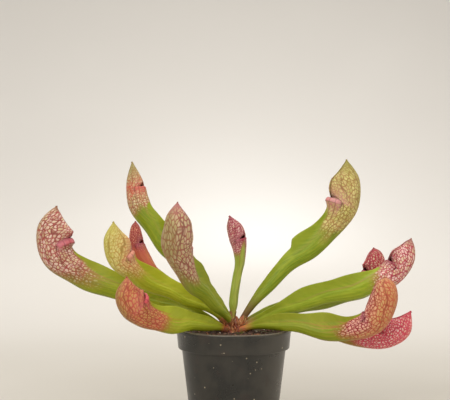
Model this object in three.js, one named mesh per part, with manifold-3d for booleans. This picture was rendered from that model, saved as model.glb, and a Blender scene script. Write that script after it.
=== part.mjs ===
// A young trumpet pitcher plant in a small round nursery pot: twelve pitcher leaves that radiate from one
// crown, the crown standing in the growing medium, and the thin plastic pot that holds it.
// Millimetres, +Z up, origin in the middle of the pot's underside. -Y is the front.
import * as THREE from 'three';
import { mergeVertices } from 'three/addons/utils/BufferGeometryUtils.js';
import Module from 'manifold-3d';

const wasm = await Module();
wasm.setup();

// ---- Driving dimensions -------------------------------------------------------------------------------

const CLEARANCE = 0.3; // air between two pieces that touch

const POT = {
  height: 80,
  rimRadius: 45,
  bandRadius: 43.4, // outside of the rim band at its lower edge
  bandHeight: 15,
  shoulderRadius: 40.6, // outside of the body just under the band
  footRadius: 32.6,
  wall: 1.3,
  floor: 1.8,
  rounding: 0.5,
  segments: 48,
};

const DRAIN = { count: 6, radius: 4, ring: 21.5, sides: 12 };

const MIX = { level: 75.5, crest: 1.6, rings: 7, sectors: 32, roughness: 0.9, lumps: 16, side: 0.5 };

const CROWN = { radius: 9.2, height: 12.5, depth: 9, sides: 20, rings: 9, roughness: 0.5 };
const BRACT = { headings: [262, 274, 287, 300, 330, 95, 240], width: 2.2, tip: 0.6, thickness: 0.9 };

// A pitcher's own proportions, along its length from 0 at the foot to 1 at the hood's tip.
const WALL = 0.8;
const WING_EDGE = 0.9; // thickness of the flat wing at its edge
const WING_ROOT = 1.8;
const FOOT_DEPTH = 3.8;
const LIP_ANGLE = 26; // half of the arc that the lip takes
const LIP_END = 50; // the roll of the lip dies out past this angle
const LIP_ROLL = 0.9; // how far the lip stands out, times a pitcher's flare
const HOOD_THROW = 0.55; // how far the hood's sides reach forward past the tube, as a share of its depth
const HOOD_POWER = 6.5; // how fast the hood's sides climb from the lip to the tip
const SLANT_START = 0.5; // below this the rows of the grid lie square to the tube
const HOLLOW_START = 5; // first row of the grid with a cavity in it
const COLUMN_ANGLES = [4, 17, 30, 41, 57, 79, 105, 131, 157];
const ROWS = [0, 0.06, 0.14, 0.23, 0.32, 0.41, 0.5, 0.58, 0.65, 0.71, 0.77, 0.83, 0.89, 0.95, 1];

// Along the length: the tube's depth as a share of the girth, also for a hood that is blunter or more slender
// than most, its width as a share of what round gives, and the wing's height as a share of its bulge.
const TUBE = [[0, 0.18], [0.1, 0.22], [0.2, 0.31], [0.3, 0.38], [0.4, 0.46], [0.5, 0.54], [0.6, 0.66],
  [0.7, 0.85], [0.78, 1], [0.86, 0.98], [0.91, 0.84], [0.96, 0.44], [1, 0.03]];
const BLUNT = [...TUBE.slice(0, 9), [0.86, 1], [0.91, 0.97], [0.96, 0.8], [0.985, 0.5], [1, 0.03]];
const SLENDER = [...TUBE.slice(0, 9), [0.86, 0.88], [0.91, 0.68], [0.96, 0.34], [1, 0.03]];
const WIDTH = [[0, 1], [0.5, 0.95], [0.74, 1], [0.88, 0.82], [1, 0.75]];
const WING = [[0, 0.05], [0.1, 0.3], [0.2, 0.55], [0.3, 0.8], [0.42, 1], [0.5, 1], [0.6, 0.7], [0.7, 0.2],
  [0.78, 0.05], [1, 0]];

// Each path runs from the foot to the hood's tip as [reach from the pot's axis, heading in degrees, height].
// Heading 0 is +X and 90 is away from the front. girth is the mouth's depth, wing the bulge of the wing,
// lip where the lip lies along the path, round the mouth's width over its depth, phase where its waves start.
// crest is 1 for a blunt hood, 0 for a plain one and -1 for a slender one. flare is how far the lip stands
// out, 1 if none is given, and stem the least depth of the tube above the foot.
const PITCHERS = [
  { name: 'pitcher_far_left', colour: 0x9aa23f, girth: 25, wing: 9, lip: 0.81,
    crest: 0.5, round: 0.82, phase: 0.4,
    path: [[8, 178, 79.5], [26, 175, 89], [54, 176, 99.5], [99, 176, 114], [122.5, 175, 123],
      [141.5, 175, 136], [147, 175, 154.5], [142.5, 175, 175.5]] },
  { name: 'pitcher_left_yellow', colour: 0xa8ad48, girth: 18, wing: 8, lip: 0.75,
    crest: 0, round: 0.82, phase: 1.7,
    path: [[5.5, 205, 84.5], [20, 200, 96], [46, 199, 109], [74, 198, 123], [89, 198, 134], [94, 198, 148],
      [95, 198, 162.5]] },
  { name: 'pitcher_back_left', colour: 0x9aa84a, girth: 20, wing: 11, lip: 0.85, flare: 0,
    crest: -0.9, round: 0.85, phase: 2.6,
    path: [[5.5, 155, 85], [19, 149, 103], [47, 147, 129], [77, 147, 158], [94, 147, 176], [101, 147, 196],
      [104, 147, 215]] },
  { name: 'pitcher_small_red', colour: 0xb0604f, girth: 14, wing: 3, lip: 0.84, flare: 0,
    crest: 0.8, round: 1, phase: 0.9,
    path: [[8, 122, 79.5], [28, 126, 91], [55, 131, 102], [80, 134, 110], [97, 135, 119], [114, 135, 133],
      [123, 135, 147], [124, 135, 164]] },
  { name: 'pitcher_front_left', colour: 0xa39a5c, girth: 25.5, wing: 9, lip: 0.7, flare: 0,
    crest: -0.6, round: 0.85, phase: 3.4,
    path: [[5.5, 255, 84.5], [20, 240, 97], [42, 237, 114], [62, 237, 130], [74, 237, 146],
      [77, 238.5, 161], [75, 237.5, 176]] },
  { name: 'pitcher_low_left', colour: 0xb98a56, girth: 21, wing: 8, lip: 0.77,
    crest: -0.5, round: 0.9, phase: 4.1,
    path: [[8, 224, 79.5], [22, 224, 84], [44, 218, 88.4], [66, 216, 91.5], [81, 215, 96.5],
      [92.5, 215, 108], [94, 215, 123]] },
  { name: 'pitcher_small_centre', colour: 0xb06c58, girth: 14, wing: 2, lip: 0.75, flare: 0,
    stem: 7.2, crest: -0.5, round: 1, phase: 5.3,
    path: [[1.4, 135, 85.5], [5, 83, 105], [8.6, 69, 119], [11.2, 62, 131], [12.1, 67, 143], [10.6, 79, 154],
      [6.2, 122, 167.5]] },
  { name: 'pitcher_upper_right', colour: 0x9fa548, girth: 23, wing: 9, lip: 0.765, flare: 3,
    crest: 0, round: 0.82, phase: 3.36,
    path: [[5.5, 20, 84.5], [21, 9, 107], [45, 8, 133.5], [72.5, 8, 154.5], [88.5, 8, 174], [92.5, 8, 196],
      [92, 8, 213]] },
  { name: 'pitcher_right', colour: 0xa3a04e, girth: 21, wing: 9.5, lip: 0.81,
    crest: 0, round: 0.9, phase: 1.1,
    path: [[8, 28, 80], [30, 21, 89.5], [68, 20, 102.5], [112, 20, 110.3], [140, 20, 118], [155, 20, 131.5],
      [163, 20, 149]] },
  { name: 'pitcher_back_right', colour: 0xb25b5b, girth: 21, wing: 6, lip: 0.83,
    crest: 0.5, round: 0.9, phase: 2.2,
    path: [[8, 70, 79.8], [30, 46, 87], [70, 37, 94], [112, 34, 101.5], [140, 33, 109],
      [149.5, 32, 122.5], [147.5, 32, 140.5]] },
  { name: 'pitcher_front_right', colour: 0xb58a50, girth: 19, wing: 8.5, lip: 0.74, flare: 0,
    crest: 0.9, round: 1.05, phase: 3.1,
    path: [[8, -50, 79.5], [26, -36, 84.8], [45, -31, 87.3], [70, -28.5, 86], [94, -28, 85],
      [111, -28, 91], [120, -28, 106], [121.5, -28, 123]] },
  { name: 'pitcher_low_right', colour: 0xb4606a, girth: 17, wing: 4, lip: 0.8,
    crest: 0, round: 0.95, phase: 4.6,
    path: [[8, -9, 79.5], [27, -13, 85], [46, -15, 86.5], [70, -16, 82.5], [92, -17, 77.5], [113, -17, 77.3],
      [127, -17, 83.5], [135, -17, 97]] },
];

// ---- Helpers ------------------------------------------------------------------------------------------

const radians = THREE.MathUtils.degToRad;
const clamp = THREE.MathUtils.clamp;
const lerp = THREE.MathUtils.lerp;

function seeded(seed) {
  let state = seed;
  return () => {
    state = (state * 16807) % 2147483647;
    return state / 2147483647;
  };
}

// A smooth curve through [place, value] pairs.
function along(table, place) {
  let k = 0;
  while (k < table.length - 2 && place > table[k + 1][0]) k += 1;
  const slope = (i) => {
    const a = table[Math.max(i - 1, 0)];
    const b = table[Math.min(i + 1, table.length - 1)];
    return (b[1] - a[1]) / (b[0] - a[0]);
  };
  const [x0, y0] = table[k];
  const [x1, y1] = table[k + 1];
  const span = x1 - x0;
  const t = clamp((place - x0) / span, 0, 1);
  const t2 = t * t;
  const t3 = t2 * t;
  return (2 * t3 - 3 * t2 + 1) * y0 + (t3 - 2 * t2 + t) * span * slope(k)
    + (3 * t2 - 2 * t3) * y1 + (t3 - t2) * span * slope(k + 1);
}

function polar(reach, heading, height) {
  const angle = radians(heading);
  return new THREE.Vector3(reach * Math.cos(angle), reach * Math.sin(angle), height);
}

function geometryFrom(points, triangles) {
  const geometry = new THREE.BufferGeometry();
  const numbers = points.flatMap((p) => [p.x, p.y, p.z]);
  geometry.setAttribute('position', new THREE.Float32BufferAttribute(numbers, 3));
  geometry.setIndex(triangles.flat());
  return geometry;
}

function toSolid(geometry) {
  const bare = geometry.clone();
  bare.deleteAttribute('normal');
  bare.deleteAttribute('uv');
  const merged = mergeVertices(bare, 1e-4);
  return new wasm.Manifold(new wasm.Mesh({
    numProp: 3,
    vertProperties: new Float32Array(merged.attributes.position.array),
    triVerts: new Uint32Array(merged.index.array),
  }));
}

function fromSolid(solid) {
  const mesh = solid.getMesh();
  const points = [];
  for (let i = 0; i < mesh.vertProperties.length; i += mesh.numProp) {
    points.push(new THREE.Vector3(...mesh.vertProperties.slice(i, i + 3)));
  }
  const triangles = [];
  for (let i = 0; i < mesh.triVerts.length; i += 3) triangles.push([...mesh.triVerts.slice(i, i + 3)]);
  return geometryFrom(points, triangles);
}

function named(name, geometry, colour, roughness) {
  const solid = geometry.toNonIndexed();
  solid.computeVertexNormals();
  const material = new THREE.MeshStandardMaterial({ color: colour, roughness, metalness: 0 });
  const mesh = new THREE.Mesh(solid, material);
  mesh.name = name;
  return mesh;
}

// Closes a stack of equal rings of points into one solid: band after band, with a fan over each end.
function loft(rings) {
  const count = rings[0].length;
  const points = rings.flat();
  const triangles = [];
  for (let i = 0; i + 1 < rings.length; i += 1) {
    for (let j = 0; j < count; j += 1) {
      const a = i * count + j;
      const b = i * count + ((j + 1) % count);
      triangles.push([a, b, b + count], [a, b + count, a + count]);
    }
  }
  const cap = (ring, order) => {
    const centre = ring.reduce((sum, p) => sum.add(p), new THREE.Vector3()).divideScalar(count);
    points.push(centre);
    return (a, b) => (order ? [points.length - 1, a, b] : [points.length - 1, b, a]);
  };
  const bottom = cap(rings[0], false);
  for (let j = 0; j < count; j += 1) triangles.push(bottom(j, (j + 1) % count));
  const last = (rings.length - 1) * count;
  const top = cap(rings[rings.length - 1], true);
  for (let j = 0; j < count; j += 1) triangles.push(top(last + j, last + ((j + 1) % count)));
  return geometryFrom(points, triangles);
}

// ---- Pot ----------------------------------------------------------------------------------------------

const SHOULDER = POT.height - POT.bandHeight;

// Outer radius of the pot's body at a height, under the rim band.
function bodyRadius(height) {
  return lerp(POT.footRadius, POT.shoulderRadius, height / SHOULDER);
}

// The wall's inner side from the floor up, as [radius, height]: straight, then out into the rim band.
const INSIDE = [
  [bodyRadius(POT.floor) - POT.wall, POT.floor],
  [bodyRadius(SHOULDER) - POT.wall, SHOULDER - 2],
  [bodyRadius(SHOULDER) - POT.wall + 1.4, SHOULDER + 1],
  [POT.rimRadius - POT.wall - 1, POT.height - 2],
];

function insideRadius(height) {
  const k = INSIDE.findIndex((p, i) => i > 0 && height <= p[1]);
  const [r0, z0] = INSIDE[k - 1];
  const [r1, z1] = INSIDE[k];
  return lerp(r0, r1, (height - z0) / (z1 - z0));
}

function makePot() {
  const { height, rimRadius, bandRadius, wall, floor, rounding, segments } = POT;
  const profile = [
    [0, 0],
    [POT.footRadius - rounding, 0],
    [POT.footRadius, rounding],
    [bodyRadius(SHOULDER), SHOULDER],
    [bandRadius, SHOULDER + rounding],
    [rimRadius, height - rounding],
    [rimRadius - rounding, height],
    [rimRadius - wall - rounding, height],
    ...INSIDE.toReversed(),
    [0, floor],
  ];
  const body = new THREE.LatheGeometry(profile.map(([r, z]) => new THREE.Vector2(r, z)), segments);
  body.rotateX(Math.PI / 2);
  let solid = toSolid(body);
  for (let k = 0; k < DRAIN.count; k += 1) {
    const hole = new THREE.CylinderGeometry(DRAIN.radius, DRAIN.radius, 3 * floor, DRAIN.sides);
    hole.rotateX(Math.PI / 2);
    const place = polar(DRAIN.ring, (k * 360) / DRAIN.count, floor / 2);
    hole.translate(place.x, place.y, place.z);
    solid = solid.subtract(toSolid(hole));
  }
  return named('pot', fromSolid(solid), 0x3a3834, 0.45);
}

// ---- Growing medium -----------------------------------------------------------------------------------

function makeMix(hole) {
  const random = seeded(417);
  const edge = insideRadius(MIX.level) - MIX.side;
  const ringAt = (radius, height, rough) => Array.from({ length: MIX.sectors }, (_, j) => {
    const lift = rough ? (random() - 0.5) * 2 * MIX.roughness : 0;
    return polar(radius, (j * 360) / MIX.sectors, height + lift);
  });
  const rings = [POT.floor + CLEARANCE, INSIDE[1][1], INSIDE[2][1]].map((height) => (
    ringAt(insideRadius(height) - MIX.side, height, false)));
  for (let i = MIX.rings; i > 0; i -= 1) {
    const share = i / MIX.rings;
    rings.push(ringAt(edge * share, MIX.level + MIX.crest * (1 - share * share), true));
  }
  let solid = toSolid(loft(rings));
  for (let k = 0; k < MIX.lumps; k += 1) {
    const size = lerp(1.4, 3, random());
    const lump = new THREE.IcosahedronGeometry(size, 0);
    lump.scale(1, lerp(0.6, 0.9, random()), 0.7);
    lump.rotateZ(random() * Math.PI);
    const place = polar(lerp(14, edge - 4, Math.sqrt(random())), random() * 360, MIX.level + 0.8);
    lump.translate(place.x, place.y, place.z);
    solid = solid.add(toSolid(lump));
  }
  return named('potting_mix', fromSolid(solid.subtract(hole)), 0x46352a, 0.95);
}

// ---- Pitchers -----------------------------------------------------------------------------------------

function pitcherCurve(spec) {
  return new THREE.CatmullRomCurve3(spec.path.map((p) => polar(...p)), false, 'centripetal');
}

// The frame of a section: its middle, the way the mouth faces, and the way across.
function frameAt(spec, curve, s) {
  const middle = curve.getPointAt(s);
  const ahead = curve.getTangentAt(s);
  const tip = spec.path[spec.path.length - 1];
  const inward = polar(-1, tip[1], 1);
  const across = new THREE.Vector3().crossVectors(inward, ahead).normalize();
  const front = new THREE.Vector3().crossVectors(ahead, across).normalize();
  return { middle, front, across };
}

// The tube's depth along the path as a share of the girth, with the pitcher's own kind of hood.
function tubeShare(spec, s) {
  return lerp(along(TUBE, s), along(spec.crest > 0 ? BLUNT : SLENDER, s), Math.abs(spec.crest));
}

// How far along the path the column at an angle from the front runs: to the lip, or up the hood.
function columnEnd(spec, angle) {
  const side = clamp((angle - LIP_ANGLE) / (180 - LIP_ANGLE), 0, 1);
  return spec.lip + (1 - spec.lip) * (1 - (1 - side) ** HOOD_POWER);
}

// One point of the pitcher. side is 1 or -1, angle runs from 0 at the wing to 180 at the back, and inset
// is how far the point lies inside the outer skin (negative outside it).
function pitcherPoint(spec, curve, angle, side, row, inset) {
  const end = columnEnd(spec, angle);
  const s = row < SLANT_START ? row : lerp(SLANT_START, end, (row - SLANT_START) / (1 - SLANT_START));
  const { middle, front, across } = frameAt(spec, curve, s);
  const stem = lerp(FOOT_DEPTH, spec.stem ?? FOOT_DEPTH, THREE.MathUtils.smoothstep(s, 0.04, 0.16));
  const depth = Math.max((spec.girth * tubeShare(spec, s)) / 2, s < 0.5 ? stem / 2 : 0.3);
  const width = depth * spec.round * along(WIDTH, s);
  const wing = spec.wing * along(WING, s) * (1 + 0.2 * Math.sin(22 * s + spec.phase));
  const cos = Math.cos(radians(angle));
  const sin = Math.sin(radians(angle));
  const normal = new THREE.Vector2(cos / depth, sin / width).normalize();
  const hooded = clamp((s - spec.lip) / (1 - spec.lip), 0, 1);
  const thrown = Math.max(cos, 0) * depth * HOOD_THROW * Math.sin(Math.PI * hooded ** 0.7);
  const flare = LIP_ROLL * (spec.flare ?? 1) * THREE.MathUtils.smoothstep(row, 0.9, 1);
  const rolled = inset === 0 && angle < LIP_END ? flare : 0;
  let forward = depth * cos + thrown - normal.x * (inset - rolled);
  let aside = width * sin - normal.y * (inset - rolled);
  if (inset <= 0 && angle < 20) {
    const edge = angle < 10;
    const flat = clamp(wing / 3, 0, 1);
    const wave = flat * Math.sin(17 * s + 2 * spec.phase) * (edge ? 0.9 : 0.3);
    forward += wing * (edge ? 1 : 0.45);
    aside = lerp(aside, (edge ? WING_EDGE : WING_ROOT) / 2 - inset, flat) + side * wave;
  }
  return middle.clone().addScaledVector(front, forward - wing / 2).addScaledVector(across, side * aside);
}

function pitcherRing(spec, curve, row, inset) {
  const right = COLUMN_ANGLES.map((angle) => pitcherPoint(spec, curve, angle, 1, row, inset));
  const left = COLUMN_ANGLES.map((angle) => pitcherPoint(spec, curve, angle, -1, row, inset));
  return [...left, pitcherPoint(spec, curve, 180, 1, row, inset), ...right.reverse()];
}

// Outside from the foot to the rim, over the rim, and down the inside to the cavity's floor.
function makePitcher(spec) {
  const curve = pitcherCurve(spec);
  const outside = ROWS.map((row) => pitcherRing(spec, curve, row, 0));
  const inside = ROWS.slice(HOLLOW_START).map((row) => pitcherRing(spec, curve, row, WALL)).reverse();
  return named(spec.name, loft([...outside, ...inside]), spec.colour, 0.5);
}

// The space that a pitcher's foot takes in the crown, with its clearance.
function footSpace(spec) {
  const curve = pitcherCurve(spec);
  const everySecond = (ring) => ring.filter((_, j) => j % 2 === 0);
  const rings = ROWS.slice(0, 3).map((row) => everySecond(pitcherRing(spec, curve, row, -2 * CLEARANCE)));
  const back = curve.getTangentAt(0).multiplyScalar(-CLEARANCE);
  rings[0].forEach((p) => p.add(back));
  return toSolid(loft(rings));
}

// ---- Crown --------------------------------------------------------------------------------------------

// The crown's rootstock, or with grow above 0 the hole that it stands in.
function makeRootstock(grow) {
  const random = seeded(83);
  const foot = MIX.level - CROWN.depth - grow;
  const span = CROWN.height + CROWN.depth + 2 * grow;
  const rings = [];
  for (let i = 0; i < CROWN.rings; i += 1) {
    const rise = i / (CROWN.rings - 1);
    const swell = i === CROWN.rings - 1 ? 0.12 : Math.sqrt(1 - (rise * 0.98) ** 4) * lerp(0.8, 1, rise);
    rings.push(Array.from({ length: CROWN.sides }, (_, j) => {
      const rough = (random() - 0.5) * 2 * CROWN.roughness;
      return polar((CROWN.radius + rough) * swell + grow, (j * 360) / CROWN.sides, foot + span * rise);
    }));
  }
  return toSolid(loft(rings));
}

// A dry, curled scale left from an old leaf, rooted in the rootstock.
function makeBract(heading, height, length, lean) {
  const spine = new THREE.QuadraticBezierCurve3(
    polar(CROWN.radius - 2, heading, height),
    polar(CROWN.radius + 0.5, heading + lean, height + length * 0.6),
    polar(CROWN.radius - 0.5, heading + 2 * lean, height + length),
  );
  const rings = [0, 0.35, 0.7, 1].map((t) => {
    const middle = spine.getPointAt(t);
    const ahead = spine.getTangentAt(t);
    const across = new THREE.Vector3(0, 0, 1).cross(polar(1, heading, 0));
    const out = new THREE.Vector3().crossVectors(ahead, across).normalize();
    const half = lerp(BRACT.width, BRACT.tip, t) / 2;
    return [[half, 0], [0, BRACT.thickness / 2], [-half, 0], [0, -BRACT.thickness / 2]].map(([a, b]) => (
      middle.clone().addScaledVector(across, a).addScaledVector(out, b)));
  });
  return toSolid(loft(rings));
}

function makeCrown() {
  const random = seeded(29);
  let solid = makeRootstock(0);
  BRACT.headings.forEach((heading) => {
    const height = MIX.level + lerp(3, 7, random());
    solid = solid.add(makeBract(heading, height, lerp(5, 8, random()), lerp(-12, 12, random())));
  });
  for (const spec of PITCHERS) solid = solid.subtract(footSpace(spec));
  const pieces = solid.decompose().sort((a, b) => b.volume() - a.volume());
  return named('crown', fromSolid(pieces[0]), 0x8c5a44, 0.8);
}

const plant = new THREE.Group();
plant.name = 'potted_pitcher_plant';
plant.add(makePot(), makeMix(makeRootstock(CLEARANCE)), makeCrown(), ...PITCHERS.map(makePitcher));

export default plant;
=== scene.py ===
# A young trumpet pitcher plant in a small round nursery pot, on a pale floor under soft studio light.
import math
import random
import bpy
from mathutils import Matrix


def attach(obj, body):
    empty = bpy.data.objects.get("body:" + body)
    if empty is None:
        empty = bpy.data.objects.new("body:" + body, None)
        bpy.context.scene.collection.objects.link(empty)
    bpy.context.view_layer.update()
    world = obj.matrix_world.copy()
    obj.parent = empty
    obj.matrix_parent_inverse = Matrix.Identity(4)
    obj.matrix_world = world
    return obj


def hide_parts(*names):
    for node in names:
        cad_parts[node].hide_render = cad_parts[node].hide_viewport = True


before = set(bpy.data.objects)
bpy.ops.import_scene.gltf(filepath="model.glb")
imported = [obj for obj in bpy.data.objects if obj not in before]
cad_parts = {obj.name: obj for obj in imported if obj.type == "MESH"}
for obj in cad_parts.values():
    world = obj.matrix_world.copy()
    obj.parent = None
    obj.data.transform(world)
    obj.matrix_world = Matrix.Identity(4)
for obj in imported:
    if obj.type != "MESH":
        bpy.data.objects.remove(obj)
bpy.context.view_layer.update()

from types import SimpleNamespace

import bmesh
import bpy
from mathutils import Matrix, Vector, noise
from mathutils.geometry import interpolate_bezier

mm = 0.001
noise.seed_set(7)  # so that dents and bumps are the same each time


# Small helpers for shapes. The plant and the pot are worked out in millimetres and scaled at the end.

def clamp(value, low=0.0, high=1.0):
    return max(low, min(high, value))


def lerp(a, b, t):
    return a + (b - a) * t


def smooth(low, high, value):
    t = clamp((value - low) / (high - low))
    return t * t * (3 - 2 * t)


def smoothDown(low, high, value):
    return 1 - smooth(low, high, value)


def bell(value, middle, width):
    return math.exp(-(((value - middle) / width) ** 2))


def along(table, place):
    # a smooth curve through (place, value) pairs
    k = 0
    while k < len(table) - 2 and place > table[k + 1][0]:
        k += 1

    def slope(i):
        a, b = table[max(i - 1, 0)], table[min(i + 1, len(table) - 1)]
        return (b[1] - a[1]) / (b[0] - a[0])

    (x0, y0), (x1, y1) = table[k], table[k + 1]
    span = x1 - x0
    t = clamp((place - x0) / span)
    t2, t3 = t * t, t * t * t
    return ((2 * t3 - 3 * t2 + 1) * y0 + (t3 - 2 * t2 + t) * span * slope(k)
            + (3 * t2 - 2 * t3) * y1 + (t3 - t2) * span * slope(k + 1))


def polar(reach, heading, height):
    angle = math.radians(heading)
    return Vector((reach * math.cos(angle), reach * math.sin(angle), height))


def gridSheet(bm, columns, rows, place):
    # a flat grid whose vertices go to place(u, v), with u and v from 0 to 1
    for vert in bmesh.ops.create_grid(bm, x_segments=columns, y_segments=rows, size=0.5)["verts"]:
        vert.co = place(vert.co.x + 0.5, vert.co.y + 0.5)


def spinProfile(profile, steps):
    # a profile of (radius, height) pairs, turned once round the middle
    bm = bmesh.new()
    chain = [bm.verts.new((r, 0, z)) for r, z in profile]
    edges = [bm.edges.new(pair) for pair in zip(chain, chain[1:])]
    bmesh.ops.spin(bm, geom=chain + edges, cent=(0, 0, 0), axis=(0, 0, 1), angle=math.tau, steps=steps,
                   use_merge=True)
    bmesh.ops.remove_doubles(bm, verts=bm.verts, dist=0.01)
    return bm


def makeObject(name, bm, material=None):
    mesh = bpy.data.meshes.new(name)
    bm.to_mesh(mesh)
    bm.free()
    if material:
        mesh.materials.append(material)
        mesh.shade_smooth()
    made = bpy.data.objects.new(name, mesh)
    bpy.context.collection.objects.link(made)
    return made


def addPiece(name, bm, material, slot, nodes=()):
    bmesh.ops.scale(bm, vec=(mm, mm, mm), verts=bm.verts)
    piece = makeObject(name, bm, material)
    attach(piece, "root")
    if nodes:
        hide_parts(*nodes)
    return piece


def thicken(piece, thickness):
    wall = piece.modifiers.new("thickness", "SOLIDIFY")
    wall.thickness, wall.offset = thickness * mm, 0


# Small helpers for materials. Colours are given as they look on a screen, from 0 to 255.

def tone(colour):
    steps = [c / 255 for c in colour]
    return (*[c / 12.92 if c < 0.04045 else ((c + 0.055) / 1.055) ** 2.4 for c in steps], 1)


def blend(a, b, share):
    return tuple(lerp(p, q, share) for p, q in zip(a, b))


def shifted(colour, step):
    return tuple(c + step for c in colour)


def darker(colour, share):
    return tuple(c * share for c in colour)


class Finish:
    def __init__(self, name, roughness):
        self.material = bpy.data.materials.new(name)
        self.material.use_nodes = True
        self.tree = self.material.node_tree
        self.shader = self.tree.nodes["Principled BSDF"]
        self.shader.inputs["Roughness"].default_value = roughness

    def put(self, socket, value):
        if isinstance(value, bpy.types.NodeSocket):
            self.tree.links.new(value, socket)
        elif isinstance(value, tuple) and len(value) == 3 and socket.type == "RGBA":
            socket.default_value = tone(value)
        else:
            socket.default_value = value

    def node(self, kind, settings=None, **inputs):
        made = self.tree.nodes.new("ShaderNode" + kind)
        for key, value in (settings or {}).items():
            setattr(made, key, value)
        for key, value in inputs.items():
            self.put(made.inputs[key], value)
        return made

    def inOrder(self, made, *values):
        # for nodes with several sockets of one name
        for socket, value in zip(made.inputs, values):
            self.put(socket, value)
        return made.outputs[0]

    def sums(self, operation, *values):
        return self.inOrder(self.node("Math", {"operation": operation}), *values)

    def times(self, *values):
        return self.sums("MULTIPLY", *values)

    def minus(self, *values):
        return self.sums("SUBTRACT", *values)

    def band(self, value, low, high, start=0.0, end=1.0):
        # from start to end while the value goes from low to high
        inputs = {"Value": value, "From Min": low, "From Max": high, "To Min": start, "To Max": end}
        return self.node("MapRange", {"interpolation_type": "SMOOTHSTEP"}, **inputs).outputs["Result"]

    def mix(self, factor, a, b):
        made = self.node("Mix", {"data_type": "RGBA"})
        for k, value in ((0, factor), (6, a), (7, b)):  # the sockets that serve colours
            self.put(made.inputs[k], value)
        return made.outputs[2]

    def vector(self, x, y, z):
        return self.node("CombineXYZ", X=x, Y=y, Z=z).outputs[0]

    def parts(self, vector):
        return list(self.node("SeparateXYZ", Vector=vector).outputs)

    def split(self, name):
        return self.parts(self.node("Attribute", {"attribute_name": name}).outputs["Vector"])

    def place(self):
        return self.node("TexCoord").outputs["Object"]

    def stretch(self, vector, scale):
        return self.node("Mapping", Vector=vector, Scale=scale).outputs[0]

    def noise(self, vector, scale, detail):
        return self.node("TexNoise", Vector=vector, Scale=scale, Detail=detail).outputs[0]

    def cells(self, vector, scale, randomness, feature="DISTANCE_TO_EDGE"):
        return self.node("TexVoronoi", {"feature": feature, "voronoi_dimensions": "2D"},
                         Vector=vector, Scale=scale, Randomness=randomness).outputs

    def bump(self, height, distance, strength, under=None):
        made = self.node("Bump", Height=height, Distance=distance, Strength=strength)
        if under is not None:
            self.put(made.inputs["Normal"], under)
        return made.outputs[0]

    def wear(self, **inputs):
        for key, value in inputs.items():
            self.put(self.shader.inputs[key.replace("_", " ")], value)
        return self.material


# The camera, the floor and the light. The camera's numbers are in mm and degrees, the others in metres.

view = dict(place=(-6.85, -600, 157), pitch=2.2, focal=60.96, sensor=36)
# ground is a painted shade: the floor's colour at the front, which fades to the pale colour further back
floorLook = dict(near=-2.6, far=2.0, width=5.2, height=3.4, bend=1.5, colour=(241, 238, 233),
                 ground=(186, 181, 170))
ambient = dict(colour=(250, 246, 240), strength=0.55)
lamps = [
    dict(name="frontSoftbox", place=(-0.75, -1.15, 1.15), aim=(0, 0, 0.1), size=(1.3, 1.0), power=12.6,
         colour=(255, 250, 242)),
    dict(name="topSoftbox", place=(0.15, 0.15, 1.5), aim=(0, 0, 0.1), size=(1.5, 1.5), power=13,
         colour=(255, 252, 248)),
    dict(name="rightFill", place=(1.3, -0.7, 0.6), aim=(0, 0, 0.1), size=(1.0, 1.0), power=4,
         colour=(255, 246, 236)),
    dict(name="wallGlow", place=(0.07, 1.0, 0.4), aim=(0.07, 1.34, 0.25), size=(0.3, 0.3), power=0.42,
         colour=(244, 248, 255)),
]


def makeCamera():
    data = bpy.data.cameras.new("frontCamera")
    data.sensor_width = view["sensor"]
    data.lens = view["focal"]
    data.clip_start, data.clip_end = 0.01, 20
    camera = bpy.data.objects.new("frontCamera", data)
    camera.location = Vector(view["place"]) * mm
    camera.rotation_euler = (math.radians(90 + view["pitch"]), 0, 0)
    bpy.context.collection.objects.link(camera)
    bpy.context.scene.camera = camera


def makeFloor():
    # a floor that bends up into a wall far behind
    look = floorLook
    straight = look["far"] - look["near"] - look["bend"]
    turn = look["bend"] * math.pi / 2
    total = straight + turn + look["height"] - look["bend"]

    def place(u, v):
        walked = v * total
        x = (u - 0.5) * look["width"]
        if walked < straight:
            return Vector((x, look["near"] + walked, 0))
        a = min((walked - straight) / look["bend"], math.pi / 2)
        up = max(walked - straight - turn, 0)
        return Vector((x, look["near"] + straight + look["bend"] * math.sin(a),
                       look["bend"] * (1 - math.cos(a)) + up))

    bm = bmesh.new()
    gridSheet(bm, 4, 90, place)
    bmesh.ops.recalc_face_normals(bm, faces=bm.faces)
    finish = Finish("paleWall", 0.9)
    patches = finish.noise(finish.place(), 0.9, 3)
    depth = finish.parts(finish.place())[1]
    # painted shade: the floor is darker towards the front, near the pot
    colour = finish.mix(finish.band(depth, -0.1, 1.0), look["ground"], look["colour"])
    colour = finish.mix(finish.band(patches, 0.35, 0.65, 0, 0.5), colour, shifted(look["colour"], -12))
    floor = makeObject("studioFloor", bm, finish.wear(Base_Color=colour))


def makeLights():
    world = bpy.data.worlds.new("softAmbient")
    world.use_nodes = True
    bpy.context.scene.world = world
    background = world.node_tree.nodes["Background"]
    background.inputs["Color"].default_value = tone(ambient["colour"])
    background.inputs["Strength"].default_value = ambient["strength"]
    for lamp in lamps:
        data = bpy.data.lights.new(lamp["name"], "AREA")
        data.shape = "RECTANGLE"
        data.size, data.size_y = lamp["size"]
        data.energy = lamp["power"]
        data.color = tone(lamp["colour"])[:3]
        light = bpy.data.objects.new(lamp["name"], data)
        light.location = lamp["place"]
        light.rotation_mode = "QUATERNION"
        light.rotation_quaternion = (Vector(lamp["aim"]) - Vector(lamp["place"])).to_track_quat("-Z", "Y")
        bpy.context.collection.objects.link(light)


makeCamera()
makeFloor()
makeLights()
bpy.context.scene.view_settings.view_transform = "Standard"
print("camera, floor and light are ready")


# The pitchers. Each is one grid round its path: up the outside, over the rim and down the inside.

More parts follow.
